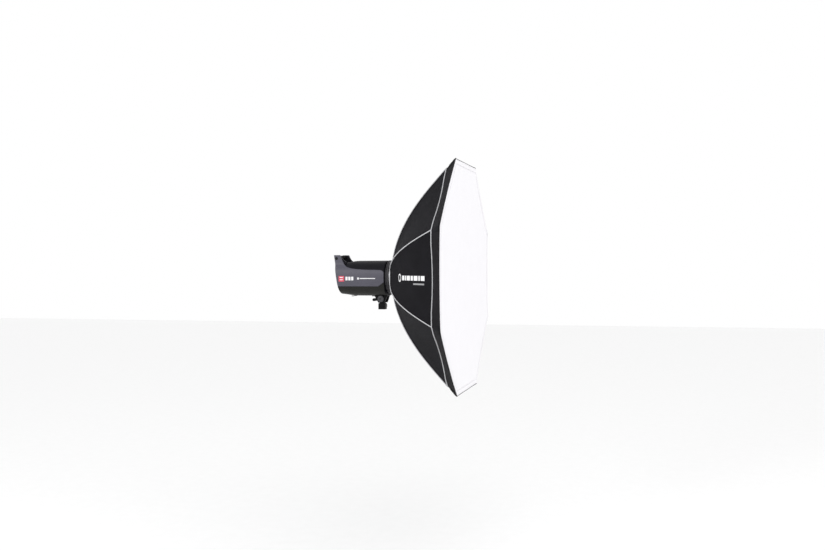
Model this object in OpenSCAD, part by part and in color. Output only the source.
// Octagonal studio softbox on a flash head with a tilting stand bracket.
// The origin is the centre of the stand socket's mouth. +Z is up and +X is where the light points.

/* [Softbox] */
// Radius to the corners of the front edge
tip_r = 500; // [480:5:520]
// Radius to the corners of the piped seam behind the front band
seam_r = 460; // [445:5:470]
// Radius to the corners of the rear opening
rear_r = 85; // [84:1:90]
// Distance from the tilt pivot to the front edge
front_x = 358; // [350:1:370]
// Depth from the rear opening to the front edge
softbox_depth = 300; // [290:1:310]
// Depth of the plain band in front of the piped seam
band_depth = 38; // [34:1:42]
// How far a rod bows out from a straight line
rod_bow = 30; // [20:0.5:32]
// How far the cloth is pulled in halfway between two rods
cloth_sag = 11; // [6:0.5:13]
// How far the front edge bulges out halfway between two rods
edge_bulge = 4; // [0:0.5:6]
// Thickness of the cloth
cloth_t = 1.2; // [0.8:0.1:1.4]
// Radius of a spring rod
rod_rad = 2.5; // [2:0.1:2.5]
// Radius of the piping cord
piping_rad = 2.2; // [1.5:0.1:2.4]
// Distance from the front edge to the inner baffle
baffle_depth = 150; // [140:5:170]
// Radius to the corners of the inner baffle
baffle_r = 290; // [250:5:300]

/* [Flash head] */
// Height of the light's axis above the stand socket's mouth
axis_z = 135; // [134:1:140]
// Half of the width of the covers
head_half_w = 74; // [73:1:78]
// Half of the height of the covers
head_half_h = 73; // [72:1:74]
// How boxy the covers are: 2 is an ellipse
squareness = 2.8; // [2.6:0.1:3.2]
// Distance from the tilt pivot to the front of the covers
head_front = 30; // [29.5:0.5:30]
// Distance from the tilt pivot to the rear face, on the axis
head_rear = 179; // [174:1:184]
// Slant of the rear face, in degrees
rear_slant = 8.6; // [6:0.2:10]
// Wall thickness of the covers
wall = 2.5; // [2:0.1:3]

/* [Stand bracket] */
// Height of the tilt pivot above the stand socket's mouth
pivot_z = 44; // [43:0.5:45]
// Radius of the stand socket's bore, for a 16 mm spigot
socket_r = 8.1; // [8.05:0.05:8.3]
// Depth of the stand socket's bore
socket_depth = 32; // [28:1:33]
// Width of the socket block
block_w = 28; // [26:1:28]

/* [Hidden] */
$fn = 48;
rods = 8;
rod_step = 360 / rods;
rear_x = front_x - softbox_depth;
seam_x = front_x - band_depth;
chord = norm([seam_x - rear_x, seam_r - rear_r]);
bow_x = (seam_r - rear_r) / chord;
bow_r = (seam_x - rear_x) / chord;
rod_inset = 4.6;
seam_gap = 0.4;
diffuser_t = 1;
tape_gap = 0.5;
tape_t = 1.3;
tape_trim = 0.035;
diffuser_x = front_x - 6;
baffle_x = front_x - baffle_depth;
section_drop = -5;
panel_x = 1;
panel_t = 3;
arm_in = 42;
arm_split = 51.6;
arm_out = 59;
bolt_r = 4;
knob_z = 14;
button_places = [[30, 0], [30, -16], [-30, 0], [-30, -16]];
screw_x = [12, -118];
BUTTONS = [for (i = [1:4]) str("push_button_", i)];
PANELS = [for (i = [1:rods]) str("shell_panel_", i)];

// ---- Shape of the softbox ----

// Where a rod's outer corner line runs, as [x, radius]: 0 is the rear opening, 1 the seam, 2 the front edge.
function bowed(u) = 4 * rod_bow * u * (1 - u) * (1 + 0.6 * (0.5 - u));
function shell_line(u) = [
    rear_x + (seam_x - rear_x) * u - bow_x * bowed(u),
    rear_r + (seam_r - rear_r) * u + bow_r * bowed(u)
];
function band_line(w) = [seam_x + band_depth * w, seam_r + (tip_r - seam_r) * w];
function corner_line(s) = s <= 1 ? shell_line(s) : band_line(s - 1);
function unit(v) = v / norm(v);
function slope(s) = unit(corner_line(min(s + 0.01, 2)) - corner_line(max(s - 0.01, 0)));

// Turns [x, radius] at an angle about the light's axis into a point.
function turned(p, a) = [p[0], p[1] * cos(a), axis_z + p[1] * sin(a)];
function rod_angle(k) = rod_step * (k - 0.5);
function rod_side(k) = [0, -sin(rod_angle(k)), cos(rod_angle(k))];

// A point of the cloth between rod k and the next, v of the way across, moved in by depth.
function sag_at(s, v) = 4 * v * (1 - v) * (
    s <= 1 ? cloth_sag * (1 - pow(1 - s, 3)) : cloth_sag - (cloth_sag + edge_bulge) * (s - 1)
);
function cloth_in(k, s) = let (
    t = slope(s),
    n = unit([t[1] * cos(rod_step / 2), -t[0]]),
    a = rod_angle(k) + rod_step / 2
) [n[0], n[1] * cos(a), n[1] * sin(a)];
function cloth_point(k, s, v, depth) = let (
    a = turned(corner_line(s), rod_angle(k)),
    b = turned(corner_line(s), rod_angle(k + 1)),
    g = seam_gap / norm(b - a),
    w = g + (1 - 2 * g) * v
) a + (b - a) * w + cloth_in(k, s) * (sag_at(s, w) + depth);

// A closed thin sheet from two matching grids of points, rows by columns.
module sheet(outer, inner, rows, cols) {
    n = rows * cols;
    cells = [for (i = [0:rows - 2]) for (j = [0:cols - 2]) i * cols + j];
    rim = concat(
        [for (j = [0:cols - 1]) j],
        [for (i = [1:rows - 1]) i * cols + cols - 1],
        [for (j = [cols - 2:-1:0]) (rows - 1) * cols + j],
        [for (i = [rows - 2:-1:1]) i * cols]
    );
    m = len(rim);
    polyhedron(
        points = concat(outer, inner),
        faces = concat(
            [for (c = cells) [c, c + cols, c + 1]],
            [for (c = cells) [c + 1, c + cols, c + cols + 1]],
            [for (c = cells) [n + c, n + c + 1, n + c + cols]],
            [for (c = cells) [n + c + 1, n + c + cols + 1, n + c + cols]],
            [for (i = [0:m - 1]) [rim[i], rim[(i + 1) % m], n + rim[i]]],
            [for (i = [0:m - 1]) [rim[(i + 1) % m], n + rim[(i + 1) % m], n + rim[i]]]
        )
    );
}

// The cloth between rod k and the next, over a stretch of the corner line.
module cloth(k, s0, s1, rows, cols, depth, thick, trim = 0) {
    stops = [for (i = [0:rows - 1]) s0 + (s1 - s0) * i / (rows - 1)];
    across = [for (j = [0:cols - 1]) trim + (1 - 2 * trim) * j / (cols - 1)];
    sheet(
        [for (s = stops) for (v = across) cloth_point(k, s, v, depth)],
        [for (s = stops) for (v = across) cloth_point(k, s, v, depth + thick)],
        rows, cols
    );
}

// A round cord of a given radius along a path. ref is a direction that the path never runs along.
module cord(path, r, ref, sides = 6, closed = false) {
    n = len(path);
    ahead = [for (i = [0:n - 1]) closed ? path[(i + 1) % n] : path[min(i + 1, n - 1)]];
    behind = [for (i = [0:n - 1]) closed ? path[(i + n - 1) % n] : path[max(i - 1, 0)]];
    points = [for (i = [0:n - 1]) let (
        t = unit(ahead[i] - behind[i]),
        a = unit(cross(t, ref)),
        b = cross(a, t)
    ) for (j = [0:sides - 1]) path[i] + r * (cos(360 * j / sides) * a + sin(360 * j / sides) * b)];
    last = closed ? n - 1 : n - 2;
    quads = [for (i = [0:last]) for (j = [0:sides - 1]) let (
        p = i * sides,
        q = ((i + 1) % n) * sides,
        k = (j + 1) % sides
    ) [p + j, q + j, q + k, p + k]];
    caps = [[for (j = [0:sides - 1]) j], [for (j = [sides - 1:-1:0]) (n - 1) * sides + j]];
    polyhedron(
        points = points,
        faces = concat(
            [for (f = quads) [f[0], f[1], f[2]]],
            [for (f = quads) [f[0], f[2], f[3]]],
            closed ? [] : caps
        )
    );
}

// A path along a rod's corner line, moved in by depth.
function rod_point(k, s, depth) = let (
    t = slope(s),
    p = corner_line(s) + depth * [t[1], -t[0]]
) turned(p, rod_angle(k));

// A loop right round the softbox on the cloth, moved in by depth.
function loop_path(s, depth, steps) = [
    for (k = [1:rods]) for (j = [0:steps - 1]) cloth_point(k, s, j / steps, depth)
];

module octagon(r) {
    rotate(rod_step / 2) circle(r = r, $fn = rods);
}

// ---- Placing things on the head ----

// Extrudes a shape drawn in (y, height above the axis) from x0 to x1.
module along_x(x0, x1) {
    translate([x0, 0, axis_z]) rotate([90, 0, 90]) linear_extrude(x1 - x0) children();
}
// Extrudes a shape drawn in (x, height above the axis) from y0 to y1.
module along_y(y0, y1) {
    translate([0, y1, axis_z]) rotate([90, 0, 0]) linear_extrude(y1 - y0) children();
}
// The same, whichever of the two ends comes first.
module between(ya, yb) {
    along_y(min(ya, yb), max(ya, yb)) children();
}
// A cylinder about the light's axis, from x0 to x1.
module disc(r, x0, x1) {
    translate([x0, 0, axis_z]) rotate([0, 90, 0]) cylinder(r = r, h = x1 - x0);
}
module ring(r_in, r_out, x0, x1) {
    difference() {
        disc(r_out, x0, x1);
        disc(r_in, x0 - 1, x1 + 1);
    }
}
// A cylinder along Y at (x, z), from y0 to y1.
module peg(r, x, z, y0, y1) {
    translate([x, y0, z]) rotate([-90, 0, 0]) cylinder(r = r, h = y1 - y0);
}
// The rear face's own frame: x into the head, z up the slant.
module on_rear() {
    translate([-head_rear, 0, axis_z]) rotate([0, -rear_slant, 0]) children();
}
// A cylinder into the rear face at (y, z), from depth x0 to x1.
module rear_peg(r, y, z, x0, x1) {
    on_rear() translate([x0, y, z]) rotate([0, 90, 0]) cylinder(r = r, h = x1 - x0);
}

// ---- Outline of the head ----

function boxy(v) = sign(v) * pow(abs(v), 2 / squareness);
function head_section(inset) = [for (a = [0:6:354]) [
    (head_half_w - inset) * boxy(cos(a)),
    (head_half_h - inset) * boxy(sin(a)) + section_drop
]];
function rear_at(h) = -head_rear - h * tan(rear_slant);
arm_top = 92;
arm_line = [[-167, arm_top], [-149, 53], [-136, 43], [-107, 35], [-77, 32], [0, 30], [22, 27], [28, 20]];
side_low = -38;
side_outline = concat(
    [[rear_at(arm_top), arm_top]],
    arm_line,
    [[28, -21], [4, side_low], [rear_at(side_low), side_low]]
);
scoop_x = -138;
panel_top = 38;
grip_r = 9;
grip_h = 81;

module head_tube() {
    intersection() {
        along_x(-200, head_front) difference() {
            polygon(head_section(0));
            polygon(head_section(wall));
        }
        along_y(-90, 90) polygon([[rear_at(85), 85], [40, 85], [40, -85], [rear_at(-85), -85]]);
    }
}
module screw_cuts(r) {
    for (x = screw_x, side = [-1, 1]) {
        peg(r, x, axis_z + 50, side * 55 - 9, side * 55 + 9);
        peg(r, x, axis_z - 57, side * 55 - 9, side * 55 + 9);
    }
}

// ---- Softbox ----

module front_diffuser() {
    color("white") along_x(diffuser_x, diffuser_x + diffuser_t) octagon(tip_r - 28);
}
module inner_baffle() {
    color("whitesmoke") along_x(baffle_x, baffle_x + diffuser_t) octagon(baffle_r);
}
module baffle_straps() {
    color("dimgray") for (k = [1:rods])
        translate([baffle_x - 1.7, 0, axis_z]) rotate([rod_angle(k), 0, 0])
            translate([0, baffle_r - 14, -7]) cube([1.4, 38, 14]);
}
module front_band() {
    color([0.15, 0.15, 0.16]) for (k = [1:rods]) cloth(k, 1.02, 2, 7, 17, 0, cloth_t);
}
module hook_loop_strip() {
    color([0.2, 0.2, 0.2]) for (k = [1:rods])
        cloth(k, 1.3, 1.7, 4, 17, cloth_t + tape_gap, tape_t, tape_trim);
}
module shell_panel(k) {
    color([0.12, 0.12, 0.13]) cloth(k, 0, 0.995, 13, 7, 0, cloth_t);
}
module spring_rods() {
    color("silver") for (k = [1:rods]) let (
        stops = [for (i = [0:16]) 1.85 * i / 16],
        start = rod_point(k, 0, rod_inset),
        tail = start - 13 * unit(rod_point(k, 0.01, rod_inset) - start)
    ) cord(concat([tail], [for (s = stops) rod_point(k, s, rod_inset)]), rod_rad, rod_side(k), 8);
}
module rod_end_caps() {
    color([0.1, 0.1, 0.1]) for (k = [1:rods])
        cord([rod_point(k, 1.86, rod_inset), rod_point(k, 1.95, rod_inset)], rod_rad + 0.3, rod_side(k), 8);
}
module rod_piping() {
    color("lightgray") for (k = [1:rods]) let (
        path = [for (i = [0:12]) rod_point(k, 0.02 + 0.95 * i / 12, -piping_rad - 0.3)]
    ) cord(path, piping_rad, rod_side(k));
}
module seam_piping() {
    color("lightgray") cord(loop_path(1, -piping_rad - 0.4, 6), piping_rad, [1, 0, 0], 6, true);
}
module rear_piping() {
    color("lightgray") cord(loop_path(0, -piping_rad - 0.6, 2), piping_rad, [1, 0, 0], 6, true);
}
// Rod holders stand on the ring's rim. Each takes the end of one rod.
hub_r = 54;
turn_gap = 0.3;
ring_r = 66;
ring_x0 = 51.5;
ring_x1 = 60;
module rotating_ring() {
    color("silver") difference() {
        ring(hub_r + turn_gap, ring_r, ring_x0, ring_x1);
        for (k = [0:15]) translate([0, 0, axis_z]) rotate([22.5 * k, 0, 0])
            translate([0, 60, 0]) disc_at_origin(2, ring_x0 - 1, ring_x1 + 1);
    }
}
module disc_at_origin(r, x0, x1) {
    translate([x0, 0, 0]) rotate([0, 90, 0]) cylinder(r = r, h = x1 - x0);
}
module rod_sockets() {
    color([0.2, 0.2, 0.22]) difference() {
        for (k = [1:rods]) translate([0, 0, axis_z]) rotate([rod_angle(k), 0, 0])
            translate([rear_x - 4.5, ring_r - 4, -5]) cube([12, 17, 10]);
        disc(ring_r, rear_x - 20, rear_x + 20);
        for (k = [1:rods]) rod_hole(k);
    }
}
module rod_hole(k) {
    start = rod_point(k, 0, rod_inset);
    dir = unit(rod_point(k, 0.01, rod_inset) - start);
    lean = acos(dir[0]);
    translate(start - 13.2 * dir) rotate([rod_angle(k) - 90, 0, 0]) rotate([0, 90 - lean, 0])
        cylinder(r = rod_rad + 0.1, h = 30);
}
module bayonet_flange() {
    color("silver") {
        difference() {
            union() {
                disc(ring_r - 2, 46.5, ring_x0 - 0.3);
                disc(hub_r, 47, 63);
            }
            disc(50, 40, 70);
        }
        difference() {
            ring(45, 49.5, 38, 48.5);
            for (a = [0:120:240]) translate([30, 0, axis_z]) rotate([a, 0, 0])
                translate([0, -60, 12]) cube([30, 120, 60]);
        }
    }
}
module retaining_ring() {
    color("gray") ring(hub_r + 0.05, 62, ring_x1 + 0.4, 63);
}

// ---- Flash head ----

module lock_ring() {
    color([0.13, 0.13, 0.13]) difference() {
        ring(58, 69, 31, 45.5);
        for (a = [0:10:350]) translate([0, 0, axis_z]) rotate([a, 0, 0])
            translate([33, 70.2, 0]) disc_at_origin(2, 0, 11);
    }
}
module front_collar() {
    color([0.12, 0.12, 0.12]) difference() {
        union() {
            along_x(26, head_front) polygon(head_section(wall + 0.1));
            disc(57.5, 29, 46);
        }
        disc(50, 20, 50);
    }
}
module inner_chassis() {
    color("silver") {
        difference() {
            union() {
                disc(64, 16, 18);
                translate([16, -20, axis_z - 65]) cube([2, 40, 10]);
            }
            disc(20, 10, 20);
            for (a = [0:45:315]) translate([0, 0, axis_z]) rotate([a, 0, 0])
                translate([0, 42, 0]) disc_at_origin(6, 10, 20);
        }
        translate([-140, -44, axis_z - 66]) cube([160, 88, 2]);
        for (y = [-44, 42]) translate([-140, y, axis_z - 65]) cube([156.5, 2, 14]);
    }
}
module top_cover() {
    color([0.14, 0.14, 0.15]) difference() {
        head_tube();
        along_y(-90, 90) polygon(side_outline);
        along_y(-90, 90) polygon([[-210, 0], [-210, -90], [50, -90], [50, 0]]);
        along_y(-arm_split, arm_split) polygon([[-210, 90], [-210, 0], [scoop_x, 0], [scoop_x, 90]]);
        along_y(-90, 90) polygon([[-210, 90], [-210, 0], [-149, 0], [-149, 90]]);
        screw_cuts(2.8);
    }
    color([0.14, 0.14, 0.15]) for (dir = [-1, 1]) between(dir * (arm_in + 0.2), dir * arm_split) polygon([
        [rear_at(arm_top), arm_top], [-170, arm_top], [scoop_x, 63], [scoop_x, 46],
        [rear_at(42) + 6, 44], [rear_at(44), 44]
    ]);
    color([0.14, 0.14, 0.15]) along_y(-arm_in - 0.2, arm_in + 0.2) polygon([
        [scoop_x + 0.1, 66], [scoop_x + 0.1, 62], [rear_at(panel_top) + 5, panel_top + 0.8],
        [rear_at(panel_top) + 1, panel_top + 0.8], [rear_at(panel_top) + 1, panel_top + 3]
    ]);
}
// One side with its handle arm. dir is 1 for +Y and -1 for -Y.
module side_cover(dir) {
    y0 = dir > 0 ? 0 : -90;
    color([0.4, 0.38, 0.42]) {
        difference() {
            intersection() {
                head_tube();
                along_y(y0, y0 + 90) polygon(side_outline);
            }
            along_y(-arm_split, arm_split) polygon([[-210, 95], [-210, 25], [40, 25], [40, 95]]);
            screw_cuts(2.8);
        }
        between(dir * (arm_split + 0.1), dir * arm_out) polygon([
            [rear_at(arm_top), arm_top], arm_line[0], arm_line[1], arm_line[2], [arm_line[2][0], 30],
            [rear_at(30) + 6, 30], [rear_at(44) + 6, 44], [rear_at(44), 44]
        ]);
    }
}
module bottom_cover() {
    color([0.17, 0.17, 0.15]) difference() {
        head_tube();
        along_y(-90, 90) polygon(side_outline);
        along_y(-90, 90) polygon([[-210, 90], [-210, 0], [50, 0], [50, 90]]);
        screw_cuts(2.8);
        for (x = [-110:8:-46]) translate([x, -14, 40]) cube([3, 28, 30]);
    }
}
module rear_panel() {
    color([0.1, 0.1, 0.1]) difference() {
        intersection() {
            along_x(-195, -120) polygon(head_section(wall + 0.1));
            on_rear() translate([panel_x, -90, -90]) cube([panel_t, 180, 90 + panel_top]);
        }
        rear_peg(3.4, 0, -8, -5, 10);
        for (p = button_places) rear_peg(5.2, p[0], p[1], -5, 10);
        on_rear() translate([-1, -37, -58]) cube([10, 14, 24]);
        on_rear() translate([-1, 2, -56]) cube([10, 27.4, 20.4]);
        rear_peg(6.7, 46, -36, -5, 10);
        rear_peg(4.7, -50, -32, -5, 10);
    }
}
module display_window() {
    color([0.15, 0.2, 0.22]) on_rear() translate([0, -24, 13]) cube([panel_x, 48, 20]);
}
module handle_bar() {
    color([0.08, 0.08, 0.08]) peg(grip_r, rear_at(grip_h) + grip_r, axis_z + grip_h, -arm_in, arm_in);
}
module control_dial() {
    color([0.15, 0.15, 0.15]) {
        difference() {
            rear_peg(13, 0, -8, -13, 0.4);
            for (a = [0:20:340]) on_rear() translate([-14, 0, -8]) rotate([a, 0, 0])
                translate([0, 13.6, 0]) disc_at_origin(1.4, 0, 12);
        }
        rear_peg(3, 0, -8, 0, 9);
    }
}
module push_button(i) {
    p = button_places[i - 1];
    color([0.55, 0.55, 0.55]) {
        rear_peg(4.8, p[0], p[1], -1.5, 6.2);
        rear_peg(6.4, p[0], p[1], 5.4, 7);
    }
}
module power_rocker() {
    color([0.75, 0.1, 0.1]) on_rear() translate([4, -30, -46]) rotate([0, 8, 0]) {
        translate([-5.4, -5.6, -9.6]) cube([6, 11.2, 19.2]);
        peg(1.6, 0, 0, -6.4, 6.4);
    }
}
module mains_inlet() {
    color([0.08, 0.08, 0.08]) on_rear() {
        difference() {
            translate([0.2, 2.2, -55.8]) cube([20, 27, 20]);
            translate([-1, 4.7, -53.3]) cube([17, 22, 15]);
        }
        for (y = [-7, 0, 7]) translate([6, 15.7 + y - 1, -48]) cube([11, 2, 4.4]);
    }
}
module fuse_holder() {
    color([0.1, 0.1, 0.1]) {
        rear_peg(8, 46, -36, -2.4, panel_x);
        rear_peg(6.5, 46, -36, panel_x - 0.5, 24);
    }
}
module sync_socket() {
    color("gray") difference() {
        union() {
            rear_peg(6, -50, -32, -0.6, panel_x);
            rear_peg(4.5, -50, -32, panel_x - 0.5, 18);
        }
        rear_peg(1.8, -50, -32, -2, 14);
    }
}
module circuit_board() {
    color("darkgreen") translate([-132, -38, axis_z - 52]) cube([110, 76, 1.6]);
}
module capacitors() {
    color("midnightblue") for (y = [-19, 19], h = [-30, 6])
        translate([0, y, h]) disc(16.5, -132, -54);
}
module fan_frame() {
    color([0.1, 0.1, 0.1]) difference() {
        translate([-42, -39, axis_z - 39]) cube([22, 78, 78]);
        disc(36, -39, -10);
        for (a = [45:90:315]) translate([0, 0, axis_z]) rotate([a, 0, 0])
            translate([0, 49, 0]) disc_at_origin(2, -45, -10);
        for (a = [0:90:270]) translate([-45, 0, axis_z]) rotate([a + 45, 0, 0])
            translate([0, 15, -9]) cube([10, 19, 18]);
    }
}
module fan_rotor() {
    color([0.2, 0.2, 0.2]) {
        disc(13, -38, -22);
        for (a = [0:45:315]) translate([-30, 0, axis_z]) rotate([a, 0, 0])
            translate([0, 12, 0]) rotate([0, 35, 0]) translate([-7, 0, -0.8]) cube([14, 22, 1.6]);
    }
}
module reflector_plate() {
    color("silver") translate([0, 0, axis_z]) rotate([0, 90, 0]) rotate_extrude()
        polygon([[15, 22], [48, 28], [48, 29.5], [15, 23.5]]);
}
module lamp_holder() {
    color("white") difference() {
        disc(14.5, 4, 34);
        disc(9.3, 24, 40);
    }
}
module flash_tube() {
    color([0.9, 0.9, 0.8]) difference() {
        translate([42, 0, axis_z]) rotate([0, 90, 0]) rotate_extrude() translate([26, 0]) circle(r = 4);
        translate([30, -4, axis_z - 40]) cube([30, 8, 30]);
    }
}
module modelling_lamp() {
    color([0.95, 0.95, 0.9]) {
        disc(9, 24.5, 66);
        translate([66, 0, axis_z]) sphere(r = 9);
    }
}
module glass_dome() {
    color([0.9, 0.9, 0.9]) difference() {
        union() {
            disc(38, 32, 62);
            translate([62, 0, axis_z]) sphere(r = 38);
        }
        disc(36, 20, 62);
        translate([62, 0, axis_z]) sphere(r = 36);
        disc(50, 0, 32);
    }
}
module cover_screws() {
    color("gray") intersection() {
        screw_cuts(2.6);
        along_x(-190, 40) polygon(head_section(0.8));
        union() {
            along_y(-90, -44) square([400, 200], center = true);
            along_y(44, 90) square([400, 200], center = true);
        }
    }
}
module rubber_feet() {
    color([0.05, 0.05, 0.05]) for (x = [-124, -34], y = [-18, 18])
        translate([x, y, axis_z - 80.4]) cylinder(r = 6, h = 2.4);
}

// ---- Stand bracket ----

lug_top = axis_z + section_drop - head_half_h;
module tilt_lugs() {
    color([0.15, 0.15, 0.15]) difference() {
        union() {
            translate([-28, -22, lug_top - 3]) cube([54, 44, 3]);
            for (y = [-22, 15.5]) {
                peg(12.6, 0, pivot_z, y, y + 6.5);
                along_y(y, y + 6.5) translate([0, -axis_z]) polygon([
                    [-28, lug_top - 1], [26, lug_top - 1], [16, 28], [-12, 28]
                ]);
            }
        }
        peg(bolt_r, 0, pivot_z, -40, 40);
    }
}
module pivot_bolt() {
    color([0.25, 0.25, 0.25]) difference() {
        union() {
            peg(13.5, 0, pivot_z, -28, -22);
            peg(bolt_r - 0.02, 0, pivot_z, -23, 44);
        }
        peg(4, 0, pivot_z, -30, -25);
    }
}
module tilt_lever() {
    color([0.1, 0.1, 0.1]) difference() {
        union() {
            peg(9, 0, pivot_z, 22.4, 40);
            peg(13.5, 0, pivot_z, 38, 50);
            translate([0, 0, pivot_z]) rotate([0, -7, 0]) translate([-52, 39, -6]) cube([52, 10, 12]);
            translate([0, 0, pivot_z]) rotate([0, -7, 0]) peg(6, -52, 0, 39, 49);
        }
        peg(bolt_r + 0.04, 0, pivot_z, 10, 44.5);
    }
}
module socket_block() {
    color([0.12, 0.12, 0.12]) difference() {
        union() {
            translate([-block_w / 2, -15, 0]) cube([block_w, 30, 25]);
            translate([-9.5, -15, 20]) cube([19, 30, pivot_z - 20]);
            peg(9.5, 0, pivot_z, -15, 15);
        }
        translate([0, 0, -1]) cylinder(r = socket_r, h = socket_depth + 1);
        peg(bolt_r + 0.04, 0, pivot_z, -20, 20);
        peg(4.05, 0, knob_z, 0, 20);
    }
}
module clamp_knob() {
    color([0.1, 0.1, 0.1]) {
        peg(4, 0, knob_z, socket_r + 0.5, 24);
        difference() {
            peg(10.5, 0, knob_z, 23.5, 35);
            for (a = [0:60:300]) translate([0, 0, knob_z]) rotate([0, a, 0])
                peg(3, 12, 0, 20, 40);
        }
    }
}

front_diffuser();
inner_baffle();
baffle_straps();
front_band();
hook_loop_strip();
spring_rods();
rod_end_caps();
rod_piping();
seam_piping();
rear_piping();
rotating_ring();
rod_sockets();
bayonet_flange();
retaining_ring();
lock_ring();
front_collar();
inner_chassis();
top_cover();
side_cover(1);  // side_cover_left
side_cover(-1);  // side_cover_right
bottom_cover();
rear_panel();
display_window();
handle_bar();
control_dial();
power_rocker();
mains_inlet();
fuse_holder();
sync_socket();
circuit_board();
capacitors();
fan_frame();
fan_rotor();
reflector_plate();
lamp_holder();
flash_tube();
modelling_lamp();
glass_dome();
cover_screws();
rubber_feet();
tilt_lugs();
pivot_bolt();
tilt_lever();
socket_block();
clamp_knob();
for (i = [1:len(BUTTONS)]) push_button(i);
for (k = [1:rods]) shell_panel(k);
